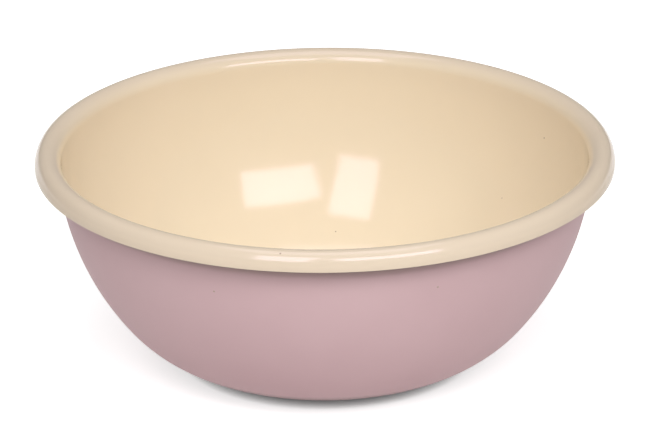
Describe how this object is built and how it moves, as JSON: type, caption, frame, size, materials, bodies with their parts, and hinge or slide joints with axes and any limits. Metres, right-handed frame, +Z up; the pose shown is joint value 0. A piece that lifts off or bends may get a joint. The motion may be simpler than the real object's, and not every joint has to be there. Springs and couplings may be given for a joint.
{
  "type": "enamel bowl",
  "caption": "Round open bowl of enamelled sheet steel with a flat base, a curved wall and a rim turned over outwards, for mixing, serving and holding food.",
  "frame": {"origin": "centre of the flat base, on the surface that the bowl stands on", "axes": "+Z up along the bowl's axis, towards the mouth; +X and +Y are any two directions square to it"},
  "size_m": [0.18, 0.18, 0.069],
  "materials": {
    "steel": "bare drawn sheet, hidden under the enamel",
    "ground_enamel": "dark fired ground coat",
    "pink_enamel": "smooth satin enamel",
    "cream_enamel": "smooth gloss enamel"
  },
  "bodies": {
    "root": {"steel_shell": "steel", "ground_coat_outside": "ground_enamel", "ground_coat_inside": "ground_enamel", "pink_cover_coat": "pink_enamel", "cream_cover_coat": "cream_enamel"}
  },
  "joints": []
}
